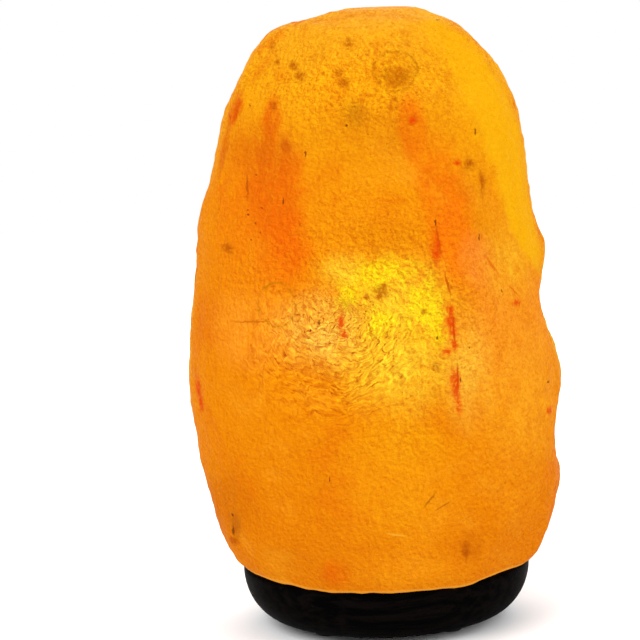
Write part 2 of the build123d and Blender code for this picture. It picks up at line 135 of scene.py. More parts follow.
def between(tree, share, first, second):
    # first where share is 0, second where it is 1
    return addNode(tree, "Mix", {"Factor": share, "A": first, "B": second}).outputs[0]


def spread(tree, value, low, high, toLow=0.0, toHigh=1.0, smooth=True):
    # value from low..high to toLow..toHigh, held at both ends
    kind = "SMOOTHSTEP" if smooth else "LINEAR"
    values = {"Value": value, "From Min": low, "From Max": high, "To Min": toLow, "To Max": toHigh}
    return addNode(tree, "MapRange", values, interpolation_type=kind).outputs["Result"]


def blendColours(tree, share, first, second, blend="MIX"):
    # a Mix node has a set of sockets for each kind of value, and those of colours are 6 and 7
    made = addNode(tree, "Mix", data_type="RGBA", blend_type=blend)
    for index, value in ((0, share), (6, first), (7, second)):
        if isinstance(value, bpy.types.NodeSocket):
            tree.links.new(value, made.inputs[index])
        else:
            made.inputs[index].default_value = value if index == 0 else (*value, 1.0)
    return made.outputs[2]


def paint(tint):
    # a colour picked as 0 to 255 on the screen, as the shader wants it
    shares = [part / 255 for part in tint]
    return tuple(part / 12.92 if part <= 0.04045 else ((part + 0.055) / 1.055) ** 2.4 for part in shares)


def tinted(tree, colour, share, tint, amount=None):
    # the tint laid over the colour as far as share says, times amount
    if amount is not None:
        share = times(tree, share, amount)
    return blendColours(tree, share, colour, paint(tint))


def millimetres(tree):
    # the place on the piece in millimetres
    place = addNode(tree, "TexCoord").outputs["Object"]
    return scaled(tree, place, 1 / mm)


def noise(tree, place, size, detail=4.0, rough=0.55, distort=0.0, stretch=None):
    # soft noise whose lumps are about size millimetres across; returns the value and the colour
    if stretch:
        place = addNode(tree, "Mapping", {"Vector": place, "Scale": stretch}).outputs[0]
    values = {"Vector": place, "Scale": 1 / size, "Detail": detail, "Roughness": rough, "Distortion": distort}
    return addNode(tree, "TexNoise", values).outputs


def shifted(tree, place, size, reach, detail=2.0):
    # the same place pushed about by noise, so that what is drawn there gets ragged edges
    wander = noise(tree, place, size, detail)["Color"]
    push = scaled(tree, vectorCalc(tree, "SUBTRACT", wander, (0.5, 0.5, 0.5))[0], reach)
    return vectorCalc(tree, "ADD", place, push)[0]


def distanceIn(tree, place, centre, reach, tilt=0.0):
    # the distance from the middle of a tilted ellipse seen from the front, 1 on its edge
    # centre and reach are (x, z)
    depth = 1e6  # so long along Y that only X and Z count
    values = {
        "Vector": place,
        "Location": (centre[0], 0.0, centre[1]),
        "Rotation": (0.0, math.radians(tilt), 0.0),
        "Scale": (reach[0], depth, reach[1]),
    }
    mapped = addNode(tree, "Mapping", values, vector_type="TEXTURE").outputs[0]
    return vectorCalc(tree, "LENGTH", mapped)["Value"]


def patch(tree, place, centre, reach, tilt, soft):
    # 1 inside such an ellipse, falling to 0 at its edge
    return spread(tree, distanceIn(tree, place, centre, reach, tilt), 1.0, 1.0 - soft)


def addBump(tree, shader, height, strength, distance):
    bump = addNode(tree, "Bump", {"Strength": strength, "Distance": distance, "Height": height})
    tree.links.new(bump.outputs[0], shader.inputs["Normal"])


saltShape = {
    "voxel": 1.6 * mm,
    "boreMargin": 24.0 * mm,  # nothing is shaped nearer to the axis than this, up to the top of the bore
    "boreFade": 3 * mm,  # and this much further out the shaping is full
    "boreTop": 172.0 * mm,
    "footGap": 0.2 * mm,  # nothing is shaped in this layer over the base
    "footMargin": 0.9 * mm,  # and this much higher the shaping is full
    # lumps, pits, grain and wrinkles: texture, where, size, depth, and the level that stays in place
    "layers": [
        {
            "kind": "CLOUDS", "group": "outside", "size": 14 * mm, "depth": 1.5 * mm, "middle": 0.45,
            "noise_depth": 2,
        },
        {"kind": "VORONOI", "group": "outside", "size": 8.0 * mm, "depth": 0.7 * mm, "middle": 0.35},
        {"kind": "CLOUDS", "group": "outside", "size": 4.5 * mm, "depth": 0.9 * mm, "noise_depth": 3},
        {
            "kind": "MARBLE", "group": "wrinkled", "size": 4.0 * mm, "depth": 1.1 * mm,
            "turbulence": 9.0, "noise_depth": 3,
        },
    ],
    # where the front is wrinkled: centre and reach (x, z) in millimetres
    "wrinkledPlaces": [((-12, 133), (34, 30)), ((14, 148), (26, 30)), ((-30, 150), (18, 20))],
    "wrinkledRise": 1.6,  # how fast the wrinkles grow from the edge of a place inwards
    "wrinkledDepth": 20 * mm,  # they are only on what stands further forward than this
    # hollows pressed in, and swellings where the depth is negative: centre, reach, depth in millimetres
    "dents": [
        ((-72, -10, 46), 30, 3.2), ((73, -10, 47), 30, 3.8), ((-76, 0, 88), 16, 1.4),
        ((-80, 0, 108), 12, -1.0), ((-18, 4, 266), 20, 2.6), ((-76, 0, 150), 60, 0.8),
        ((76, 0, 110), 60, 0.9), ((46, 0, 252), 12, 2.6), ((73, 0, 178), 16, 1.0),
        ((80, 0, 60), 14, -2.0), ((-72, 0, 200), 30, 0.8), ((66, 0, 36), 15, 3.4),
        ((-63, 0, 36), 13, 1.2),
    ],
    # the lower edge is broken away, the most at two places beside the middle, and with small chips all round
    "footBreak": {
        "up": 7 * mm,  # how far it reaches up, and in from the outline
        "inward": 9 * mm,
        "beside": 51 * mm,  # where along X it rises the most, and over what width to each side
        "width": 20 * mm,
        "rise": 3.0 * mm,
        "chips": 0.8 * mm,
        "chipSeed": 11,
        "sectors": 96,
        "edgeLayer": 2 * mm,  # the points in this layer give the outline
    },
}


def outsideShare(points, low):
    # 1 where the surface may be shaped, 0 in the bore and where the block stands on the base
    fromAxis = np.hypot(points[:, 0], points[:, 1])
    share = np.clip((fromAxis - saltShape["boreMargin"]) / saltShape["boreFade"], 0, 1)
    share = np.where(points[:, 2] > saltShape["boreTop"], 1.0, share)
    aboveFoot = points[:, 2] - low - saltShape["footGap"]
    return share * np.clip(aboveFoot / saltShape["footMargin"], 0, 1)


def wrinkledShare(points):
    # 1 in the middle of the wrinkled places of the front, 0 at their edges and behind
    share = np.zeros(len(points))
    for centre, reach in saltShape["wrinkledPlaces"]:
        across = (points[:, 0] / mm - centre[0]) / reach[0]
        upward = (points[:, 2] / mm - centre[1]) / reach[1]
        inside = saltShape["wrinkledRise"] * (1 - np.hypot(across, upward))
        share = np.maximum(share, np.clip(inside, 0, 1))
    return share * (points[:, 1] < -saltShape["wrinkledDepth"])


def weightGroup(piece, name, weights, levels=20):
    group = piece.vertex_groups.new(name=name)
    steps = np.round(weights * levels).astype(int)
    for step in range(1, levels + 1):
        group.add(np.flatnonzero(steps == step).tolist(), step / levels, "REPLACE")


def roughen(piece, kind, size, depth, group, middle=0.5, **settings):
    texture = bpy.data.textures.new(kind.lower(), kind)
    for key, value in settings.items():
        setattr(texture, key, value)
    texture.noise_scale = size
    applyModifier(
        piece, "DISPLACE", texture=texture, texture_coords="LOCAL", strength=depth, mid_level=middle,
        vertex_group=group,
    )


def pressDents(piece, points, share):
    # each dent moves the points along the directions that the roughened surface faces
    facing = np.zeros(len(points) * 3)
    piece.data.vertices.foreach_get("normal", facing)
    facing = facing.reshape(-1, 3) * share[:, None]
    for centre, reach, depth in saltShape["dents"]:
        away = np.linalg.norm(points - np.array(centre) * mm, axis=1) / (reach * mm)
        points -= facing * (depth * mm * np.clip(1 - away**2, 0, 1) ** 2)[:, None]


def footRise(points, low):
    # how far each point near the lower edge moves up; the outline there is found sector by sector
    foot = saltShape["footBreak"]
    sectors = foot["sectors"]
    turn = (np.arctan2(points[:, 1], points[:, 0]) / (2 * np.pi) % 1) * sectors
    distance = np.hypot(points[:, 0], points[:, 1])
    outline = np.zeros(sectors)
    atFoot = points[:, 2] < low + foot["edgeLayer"]
    np.maximum.at(outline, turn[atFoot].astype(int) % sectors, distance[atFoot])
    around = np.arange(sectors) + 0.5
    inside = np.interp(turn, around, outline, period=sectors) - distance
    chips = np.random.default_rng(foot["chipSeed"]).uniform(0, foot["chips"], sectors)
    rise = np.interp(turn, around, chips, period=sectors)
    beside = (np.abs(points[:, 0]) - foot["beside"]) / foot["width"]
    rise += foot["rise"] * np.clip(1 - beside**2, 0, 1) ** 2
    nearEdge = np.clip(1 - inside / foot["inward"], 0, 1)
    nearFoot = np.clip(1 - (points[:, 2] - low) / foot["up"], 0, 1)
    return rise * nearEdge * nearFoot


blockLow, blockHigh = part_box("salt_crystal")
block = copyOfNode("salt_crystal", "saltBlock")
applyModifier(block, "REMESH", mode="VOXEL", voxel_size=saltShape["voxel"], use_smooth_shade=True)
print("salt block remeshed,", len(block.data.polygons), "faces")

plain = readPoints(block)
outside = outsideShare(plain, blockLow.z)
weightGroup(block, "outside", outside)
weightGroup(block, "wrinkled", wrinkledShare(plain) * outside)
for layer in saltShape["layers"]:
    roughen(block, **layer)

shaped = readPoints(block)
pressDents(block, shaped, outside)
shaped[:, 2] += footRise(shaped, blockLow.z)
for axis in range(3):
    shaped[:, axis] = np.clip(shaped[:, axis], blockLow[axis], blockHigh[axis])
writePoints(block, shaped)
pickOnly(block)
bpy.ops.object.shade_smooth()
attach(block, "lamp")
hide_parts("salt_crystal")
print("salt block shaped")


saltFinish = {
    # colours at heights in millimetres, from the foot to the crown
    "heights": [
        (26, (235, 129, 9)), (60, (238, 132, 7)), (100, (243, 140, 7)), (150, (243, 139, 10)),
        (190, (246, 148, 10)), (215, (250, 160, 12)), (240, (253, 168, 16)), (258, (253, 172, 26)),
        (266, (253, 176, 44)),
    ],
    "tints": {
        "pale": (252, 158, 26), "deep": (234, 112, 7), "vein": (240, 108, 8), "golden": (255, 181, 12),
        # in this line, the tint laid in the hollows of the ridges is painted shade, and it also draws the
        # fine rims
        "hot": (254, 202, 42), "hottest": (255, 226, 18), "crack": (202, 118, 6), "crease": (214, 104, 6),
        "rim": (255, 172, 58), "speck": (170, 84, 8),
    },
    # the most that is laid on of these, the other tints lie as thick as their ranges say
    "amounts": {"vein": 0.8, "golden": 0.95, "hottest": 0.7, "rim": 0.7, "speck": 0.5, "stroke": 0.8},
    # noise: size in millimetres, detail, roughness, distortion, stretch
    "noise": {
        "clouds": (30.0, 5.0, 0.6, 0.4),
        "veins": (26.0, 4.0, 0.6, 1.2, (1.0, 1.0, 0.45)),
        "streaks": (5.0, 5.0, 0.65, 0.6, (1.0, 1.0, 0.4)),
        "blobs": (6.0, 6.0, 0.7, 0.8),
        "grain": (1.7, 3.0, 0.62),
        "folds": (2.3, 3.0, 0.64, 0.8),
        "lumps": (8.0, 3.0, 0.55, 0.5, (1.0, 1.0, 0.6)),
        "creases": (11.0, 3.0, 0.6, 0.6, (1.0, 1.0, 0.8)),
        "speckGroups": (16.0, 3.0),
    },
    # how far each kind of edge is pushed about: size and reach in millimetres, detail
    "edges": {"ragged": (14.0, 11.0, 5.0), "rough": (4.0, 3.0, 4.0), "torn": (1.8, 1.8, 3.0)},
    # what goes from nothing at the first value to full at the second, or from the third value to the fourth
    "ranges": {
        "front": (-8.0, -26.0),  # depth in millimetres
        "pale": (0.52, 0.72, 0.0, 0.55),
        "deep": (0.48, 0.30, 0.0, 0.55),
        "veins": (0.52, 0.66),
        "streaks": (0.36, 0.58, 0.6, 1.05),
        "goldenFoot": (140.0, 164.0),  # height in millimetres
        "goldenEnd": (170.0, 230.0, 125.5, 134.0),  # height, and distance along the slant where it is full
        "goldenClouds": (0.35, 0.60),
        "glow": (0.34, 0.56, 0.6, 1.0),
        "hottest": (0.38, 0.54),
        "ruggedClouds": (0.56, 0.42),
        "bumpy": (0.0, 1.0, 0.5, 1.1, False),  # straight, not eased
        "goldenCalm": (0.0, 1.0, 1.0, 0.4),
        # the ridge heights under which the hollows get painted shade
        "hollowShade": (0.40, 0.30),
        "creaseWidth": (0.040, 0.010),
        "creaseGaps": (0.44, 0.58),
        "creaseGlow": (0.2, 1.0, 0.42, 0.16),
        "rim": (1.2, 0.2),  # millimetres over the edge
        "specks": (0.20, 0.10),
        "speckGroups": (0.60, 0.70),
        "brokenMarks": (0.66, 0.44, 0.45, 1.0),
        "ringWidth": (0.12, 0.0),
        "ringGaps": (0.42, 0.56, 0.25, 0.9),
        "roughness": (0.3, 0.7, 0.62, 0.42),
    },
    "goldenSlant": (0.914, 0.0, 0.406),  # direction across the slanting edge of the golden face
    "goldenStart": 122.0,  # how far in that direction it starts
    "goldenElsewhere": 0.75,  # the most of it on the other sides, where it comes in clouds
    # glow on the sides and behind: centre, reach, amount
    "glowBeside": ((0, 130), (38, 46), 0.6),
    "glowBehind": ((-6, 132), (44, 48), 0.7),
    "glowSoft": 1.0,
    # arching folds round the bulb
    "foldPlace": ((-20, 128), (54, 43)),
    "foldSoft": 0.6,
    "foldCentre": (-13, 149),  # of the arches
    "foldStretch": 11.0,  # millimetres of noise to a radian of an arch
    "foldDepth": 0.6,  # how much deeper than the ridges
    # painted light and shade on the two sides of ridges and lumps: the second place is nearer to where the
    # painted light comes from
    "ridgePlaces": [(0.0, 0.0, 0.0), (0.45, -0.2, 0.45)],
    "ridgeLight": 2.1,
    "lumpPlaces": [(0.0, 0.0, 0.0), (0.7, -0.3, 0.7)],
    "lumpLight": 0.5,
    "redPower": 0.45,  # below 1, red changes less than green and blue
    "hollowShade": (0.35, 0.25),  # how much more painted shade the hollows get in the glow, and how much everywhere
    "rimLevel": 27.6,  # height of the lower edge
    "rimArch": 2.4,  # how much higher it is where it arches up
    "speckGap": 2.6,
    "body": 0.31,  # share of the colour that the room lights, the rest shines from inside
    "shine": 0.50,
    "gloss": 0.004,
    "bump": (0.8, 1.2 * mm),  # strength and distance
}

# places on the front are (x, z) in millimetres, and so are reaches
saltMarks = {
    # centre, reach, tilt, softness, colour, amount
    "stains": [
        ((-50, 184), (32, 50), 0, 0.9, (246, 124, 9), 0.8),
        ((-40, 194), (18, 29), 0, 0.7, (240, 109, 8), 0.95),
        ((-36, 173), (15, 25), 0, 0.9, (245, 108, 7), 0.85),
        ((-41, 222), (5.5, 15), 8, 0.6, (240, 112, 8), 0.9),
        ((-35, 213), (4.5, 4), 0, 0.8, (200, 80, 8), 0.85),
        ((-57, 227), (4, 10), 22, 0.5, (228, 88, 5), 0.95),
        ((-62, 210), (2.0, 16), 14, 0.7, (222, 100, 5), 0.8),
        ((-6, 225), (8.5, 8.5), 0, 0.9, (205, 134, 12), 0.8),
        ((11, 242), (10.5, 9), 0, 0.4, (238, 148, 10), 0.6),
        ((11, 240), (10.5, 5.5), 0, 0.7, (204, 116, 6), 0.9),
        ((17, 218), (8, 18), -6, 0.6, (252, 114, 8), 0.85),
        ((28, 193), (15, 32), -14, 0.7, (247, 122, 8), 0.85),
        ((32, 172), (13, 24), -8, 0.6, (252, 124, 10), 0.85),
        ((25, 171), (3.5, 12), 0, 0.6, (240, 108, 7), 0.85),
        ((31, 115), (4.5, 9), 0, 0.6, (234, 78, 6), 0.95),
        ((30, 138), (4, 12), 0, 0.8, (244, 104, 8), 0.7),
        ((43, 163), (11, 17), -20, 0.7, (255, 142, 42), 0.9),
        ((55, 134), (26, 38), -8, 0.6, (254, 148, 34), 0.85),
        ((-51, 138), (26, 22), 0, 0.7, (255, 154, 32), 0.85),
        ((-18, 133), (12, 13), 0, 0.8, (252, 160, 46), 0.7),
        ((-21, 36), (9, 9), 0, 0.8, (236, 104, 6), 0.85),
        ((-66, 62), (18, 24), 0, 0.8, (222, 118, 6), 0.8),
        ((-63, 54), (3.5, 8), 0, 0.8, (176, 88, 10), 0.6),
        ((4, 176), (26, 10), 0, 0.8, (236, 140, 8), 0.8),
        ((10, 92), (32, 18), 0, 0.9, (246, 158, 9), 0.7),
        ((35, 46), (8, 10), 0, 0.8, (216, 112, 8), 0.75),
        ((4, 219), (44, 20), 0, 1.0, (222, 122, 8), 0.6),
        ((-46, 212), (28, 18), 0, 1.0, (222, 100, 8), 0.6),
        ((56, 162), (18, 28), 0, 1.0, (255, 180, 34), 0.85),
        ((-22, 138), (28, 22), 0, 1.0, (255, 194, 70), 0.85),
        ((58, 106), (28, 50), 0, 1.0, (255, 166, 30), 0.85),
        ((5, 70), (38, 36), 0, 1.0, (252, 162, 14), 0.7),
        ((10, 36), (40, 14), 0, 1.0, (252, 154, 16), 0.75),
        ((36, 120), (15, 34), 0, 1.0, (255, 186, 52), 0.85),
    ],
    "raggedFrom": 11,  # stains that reach further than this both ways have ragged edges, others rough ones
    # thin strokes: centre, reach, tilt, colour
    "strokes": [
        ((-52, 196), (0.7, 7.5), 0, (188, 78, 8)), ((-51, 142), (13, 0.6), -5, (208, 108, 10)),
        ((19, 67), (5.5, 0.6), -49, (182, 100, 10)), ((24, 64), (5, 0.6), -25, (190, 106, 10)),
        ((5, 53), (6, 0.7), 9, (255, 176, 46)), ((26, 174), (0.7, 9), -6, (206, 84, 6)),
        ((29, 156), (0.6, 8), -13, (198, 76, 6)), ((31, 137), (0.7, 10), -4, (196, 64, 6)),
        ((32, 117), (0.7, 9), 0, (190, 62, 6)), ((48, 161), (0.7, 7), -32, (232, 108, 10)),
        ((57, 149), (0.6, 5), -40, (228, 104, 8)),
    ],
    "strokeSoft": 0.7,
    # fine rims: centre, reach
    "rings": [((-41, 149), (7.8, 8.8)), ((11, 242), (9.2, 8.0))],
    # softness and places of the bulb's glow, of its brightest blobs and of the rugged parts
    "warm": (1.0, [((8, 146), (36, 31)), ((-12, 162), (16, 12)), ((8, 124), (36, 30))]),
    "hottest": (0.8, [
        ((1, 142), (11, 10)), ((18, 147), (14, 19)), ((4, 161), (19, 11)), ((-11, 153), (9, 10)),
        ((24, 139), (6, 13)),
    ]),
    "rugged": (0.8, [((-5, 143), (72, 66)), ((-4, 238), (62, 26))]),
    # small marks: x, z, reach across, and how many times taller than wide
    "brown": [
        (-40, 253, 1.8, 1), (-38, 246, 1.3, 1), (-31, 245, 2.0, 1), (-28, 241, 2.2, 1), (-8, 254, 1.7, 1),
        (-12, 242, 1.8, 1), (-10, 238, 2.2, 1), (-40, 229, 1.5, 1), (-61, 171, 2.5, 1), (10, 231, 1.4, 1),
        (33, 44, 1.8, 2), (-64, 46, 2.0, 1), (19, 145, 1.5, 1), (23, 122, 1.8, 1), (45, 195, 1.3, 4),
        (40, 203, 2.2, 1), (2, 154, 3.0, 1), (3, 156, 1.6, 1), (1, 152, 1.8, 1), (-4, 152, 1.2, 1),
    ],
    "dark": [
        (-48, 201, 0.6, 1), (-52, 187, 0.5, 1), (-52, 185, 0.8, 1), (-46, 188, 0.5, 1), (-37, 191, 0.5, 4),
        (-49, 182, 0.5, 1), (-47, 178, 0.5, 1), (-51, 175, 0.5, 1), (-27, 210, 0.5, 4), (-50, 229, 0.6, 1),
        (-10, 221, 0.8, 1), (43, 216, 0.6, 4), (25, 181, 0.6, 4), (43, 173, 0.5, 4), (30, 261, 1.6, 0.3),
        (-24, 142, 1.2, 1), (-64, 58, 0.7, 1), (-64, 51, 0.8, 4), (-22, 77, 0.5, 4), (33, 116, 0.5, 4),
        (24, 134, 0.8, 2), (37, 129, 0.6, 1), (71, 108, 0.8, 1), (73, 61, 1.2, 0.3), (52, 150, 0.5, 2),
    ],
    "red": [
        (-15, 142, 1.1, 4), (-14, 137, 1.7, 1), (30, 145, 1.5, 2), (30, 140, 1.8, 2), (31, 136, 1.3, 1),
        (28, 128, 1.6, 1), (31, 131, 1.2, 2), (31, 117, 1.9, 2), (31, 113, 1.5, 4), (32, 106, 1.1, 4),
        (17, 222, 1.5, 1), (35, 204, 1.3, 1), (25, 170, 1.2, 4), (-77, 110, 1.2, 4), (-76, 104, 1.0, 4),
        (58, 144, 1.6, 1), (71, 96, 1.5, 1), (-59, 224, 1.0, 1),
    ],
    # the finish of each list of small marks, in the order in which they are laid on
    "smallMarks": [
        {"list": "brown", "edge": "rough", "soft": 1.0, "grow": 1.35, "amount": 0.82, "tint": (184, 80, 4)},
        {"list": "red", "edge": "rough", "soft": 1.0, "grow": 1.5, "amount": 0.9, "tint": (230, 64, 6)},
        {"list": "dark", "edge": "torn", "soft": 0.6, "grow": 0.72, "amount": 0.8, "tint": (112, 40, 6)},
    ],
}


def ranged(tree, value, name):
    return spread(tree, value, *saltFinish["ranges"][name])


def saltNoise(tree, place, name):
    return noise(tree, place, *saltFinish["noise"][name])["Fac"]


def saltTinted(tree, colour, share, name):
    return tinted(tree, colour, share, saltFinish["tints"][name], saltFinish["amounts"].get(name))


def saltPlaces(tree):
    # what the parts of the material share: the place with more or less ragged edges, sides, clouds and blobs
    place = millimetres(tree)
    x, y, z = splitPlace(tree, place)
    at = {"place": place, "x": x, "y": y, "z": z}
    for name, settings in saltFinish["edges"].items():
        at[name] = shifted(tree, place, *settings)
    at["front"] = ranged(tree, y, "front")
    at["elsewhere"] = calc(tree, "SUBTRACT", 1.0, at["front"])
    at["clouds"] = saltNoise(tree, place, "clouds")
    at["blobs"] = saltNoise(tree, place, "blobs")
    return at


def anyPlace(tree, at, name):
    # 1 inside any of the listed places
    soft, places = saltMarks[name]
    total = 0.0
    for centre, reach in places:
        total = calc(tree, "MAXIMUM", patch(tree, at["ragged"], centre, reach, 0, soft), total)
    return total


def amberColour(tree, at):
    # amber from the foot to the crown, in paler and deeper clouds
    steps = saltFinish["heights"]
    low, high = steps[0][0], steps[-1][0]
    ramp = addNode(tree, "ValToRGB", {"Fac": spread(tree, at["z"], low, high, smooth=False)})
    stops = ramp.color_ramp.elements
    while len(stops) < len(steps):
        stops.new(1.0)
    for stop, (level, tint) in zip(stops, steps):
        stop.position = (level - low) / (high - low)
        stop.color = (*paint(tint), 1.0)
    colour = ramp.outputs["Color"]
    for name in ("pale", "deep"):
        colour = saltTinted(tree, colour, ranged(tree, at["clouds"], name), name)
    return colour


def stained(tree, at, colour):
    # red-orange stains: those of the front are listed, and those of the other sides come from noise
    veins = ranged(tree, saltNoise(tree, at["place"], "veins"), "veins")
    colour = saltTinted(tree, colour, times(tree, veins, at["elsewhere"]), "vein")
    streaks = ranged(tree, saltNoise(tree, at["ragged"], "streaks"), "streaks")
    streaks = times(tree, streaks, at["front"])
    for centre, reach, tilt, soft, tint, amount in saltMarks["stains"]:
        edge = "ragged" if min(reach) > saltMarks["raggedFrom"] else "rough"
        inside = times(tree, patch(tree, at[edge], centre, reach, tilt, soft), streaks)
        colour = tinted(tree, colour, inside, tint, amount)
    return colour


def goldenFace(tree, at):
    # the smooth golden face at the upper right, beyond a slanting edge
    beyond = vectorCalc(tree, "DOT_PRODUCT", at["ragged"], saltFinish["goldenSlant"])["Value"]
    end = ranged(tree, at["z"], "goldenEnd")
    upward = splitPlace(tree, at["ragged"])[2]
    face = spread(tree, beyond, saltFinish["goldenStart"], end)
    face = times(tree, face, ranged(tree, upward, "goldenFoot"))
    cloudy = times(tree, ranged(tree, at["clouds"], "goldenClouds"), saltFinish["goldenElsewhere"])
    return times(tree, face, calc(tree, "MAXIMUM", at["front"], cloudy))


def bulbGlow(tree, at):
    # the bulb shines through the thinner salt round it
    soft = saltFinish["glowSoft"]
    centre, reach, amount = saltFinish["glowBeside"]
    fromTheSide = addNode(tree, "CombineXYZ", {0: at["y"], 1: at["x"], 2: at["z"]}).outputs[0]
    beside = times(tree, patch(tree, fromTheSide, centre, reach, 0, soft), amount)
    centre, reach, amount = saltFinish["glowBehind"]
    behind = times(tree, patch(tree, at["place"], centre, reach, 0, soft), amount)
    around = times(tree, calc(tree, "MAXIMUM", beside, behind), at["elsewhere"])
    warm = times(tree, anyPlace(tree, at, "warm"), at["front"])
    return times(tree, calc(tree, "ADD", warm, around), ranged(tree, at["blobs"], "glow"))


def hottestBlobs(tree, at):
    bright = times(tree, anyPlace(tree, at, "hottest"), at["front"])
    return times(tree, bright, ranged(tree, at["blobs"], "hottest"))


def bumpiness(tree, at):
    # how broken the surface looks: the most in the rugged places, the least on the golden face
    cloudy = ranged(tree, at["clouds"], "ruggedClouds")
    rugged = between(tree, at["front"], cloudy, anyPlace(tree, at, "rugged"))
    return times(tree, ranged(tree, rugged, "bumpy"), ranged(tree, at["golden"], "goldenCalm"))


def roundAbout(tree, place, centre):
    # the place as its distance from a centre on the front and its way round it, for arching folds
    x, y, z = splitPlace(tree, vectorCalc(tree, "SUBTRACT", place, (centre[0], 0.0, centre[1]))[0])
    squares = calc(tree, "ADD", calc(tree, "POWER", x, 2.0), calc(tree, "POWER", z, 2.0))
    angle = calc(tree, "ARCTAN2", x, times(tree, z, -1.0))
    along = times(tree, angle, saltFinish["foldStretch"])
    return addNode(tree, "CombineXYZ", {0: calc(tree, "SQRT", squares), 1: y, 2: along}).outputs[0]


def ridges(tree, at):
    # fine ridges, or folds in their place: the height, and its slope to a fixed painted light
    folded = patch(tree, at["ragged"], *saltFinish["foldPlace"], 0, saltFinish["foldSoft"])
    folded = times(tree, folded, at["front"])
    turned = roundAbout(tree, at["ragged"], saltFinish["foldCentre"])
    heights = []
    for push in saltFinish["ridgePlaces"]:
        grain = saltNoise(tree, vectorCalc(tree, "ADD", at["rough"], push)[0], "grain")
        folds = saltNoise(tree, vectorCalc(tree, "ADD", turned, push)[0], "folds")
        heights.append(between(tree, folded, grain, folds))
    slope = calc(tree, "SUBTRACT", heights[0], heights[1])
    deeper = calc(tree, "MULTIPLY_ADD", folded, saltFinish["foldDepth"], 1.0)
    return heights[0], times(tree, slope, deeper)


def lumps(tree, at):
    # wide lumps, with sharp valleys where the noise crosses its middle: the height, and its slope to the
    # painted light
    heights = []
    for push in saltFinish["lumpPlaces"]:
        wide = saltNoise(tree, vectorCalc(tree, "ADD", at["ragged"], push)[0], "lumps")
        heights.append(calc(tree, "ABSOLUTE", calc(tree, "MULTIPLY_ADD", wide, 2.0, -1.0)))
    return heights[0], calc(tree, "SUBTRACT", heights[0], heights[1])


def shaded(tree, at, colour, ridgeSlope, lumpSlope):
    # painted light and shade: the slopes of ridges and lumps to a fixed light make one side lighter and the
    # other darker; red changes less than green and blue, so the painted hollows turn orange and not grey
    shade = calc(tree, "MULTIPLY_ADD", times(tree, ridgeSlope, at["bumpy"]), saltFinish["ridgeLight"], 1.0)
    shade = calc(tree, "MULTIPLY_ADD", times(tree, lumpSlope, at["bumpy"]), saltFinish["lumpLight"], shade)
    red = calc(tree, "POWER", shade, saltFinish["redPower"])
    paintedLightAndShade = addNode(tree, "CombineColor", {0: red, 1: shade, 2: shade}).outputs[0]
    return blendColours(tree, 1.0, colour, paintedLightAndShade, "MULTIPLY")


def creased(tree, at, colour):
    # painted shade: short brown flecks darken the hollows of the ridges, densest round the hot middle
    inGlow, everywhere = saltFinish["hollowShade"]
    hollows = calc(tree, "MULTIPLY_ADD", at["glow"], inGlow, everywhere)
    hollowShade = times(tree, times(tree, ranged(tree, at["ridge"], "hollowShade"), hollows), at["bumpy"])
    colour = saltTinted(tree, colour, hollowShade, "crack")
    # and thin broken creases wander over the whole block, where a noise crosses its middle value
    wander = calc(tree, "SUBTRACT", saltNoise(tree, at["torn"], "creases"), 0.5)
    crease = ranged(tree, calc(tree, "ABSOLUTE", wander), "creaseWidth")
    crease = times(tree, times(tree, crease, ranged(tree, at["blobs"], "creaseGaps")), at["bumpy"])
    crease = times(tree, crease, ranged(tree, at["glow"], "creaseGlow"))
    return saltTinted(tree, colour, crease, "crease")


def rimLight(tree, at):
    # light gathers in the thin lower edge, which rises beside the middle as footRise has it
    foot = saltShape["footBreak"]
    beside = calc(tree, "SUBTRACT", calc(tree, "ABSOLUTE", at["x"]), foot["beside"] / mm)
    beside = calc(tree, "DIVIDE", beside, foot["width"] / mm)
    arch = calc(tree, "MULTIPLY_ADD", times(tree, beside, beside), -1.0, 1.0)
    arch = calc(tree, "MAXIMUM", arch, 0.0)
    level = calc(tree, "MULTIPLY_ADD", times(tree, arch, arch), saltFinish["rimArch"], saltFinish["rimLevel"])
    return ranged(tree, calc(tree, "SUBTRACT", at["z"], level), "rim")


def specks(tree, at):
    # tiny dots in loose groups
    values = {"Vector": at["torn"], "Scale": 1 / saltFinish["speckGap"]}
    dots = addNode(tree, "TexVoronoi", values).outputs["Distance"]
    groups = ranged(tree, saltNoise(tree, at["place"], "speckGroups"), "speckGroups")
    return times(tree, ranged(tree, dots, "specks"), groups)


def marksOn(tree, place, marks, soft, grow):
    # 1 inside any of the marks, falling to 0 a little outside
    outerEdge = 1.15
    nearest = 10.0  # far from all of them
    squeezed = {}
    for x, z, reach, taller in marks:
        if taller not in squeezed:
            squeezed[taller] = vectorCalc(tree, "MULTIPLY", place, (1.0, 0.0, 1.0 / taller))[0]
        away = vectorCalc(tree, "DISTANCE", squeezed[taller], (x, 0.0, z / taller))["Value"]
        nearest = calc(tree, "MINIMUM", calc(tree, "DIVIDE", away, reach * grow), nearest)
    return spread(tree, nearest, outerEdge, outerEdge - soft)


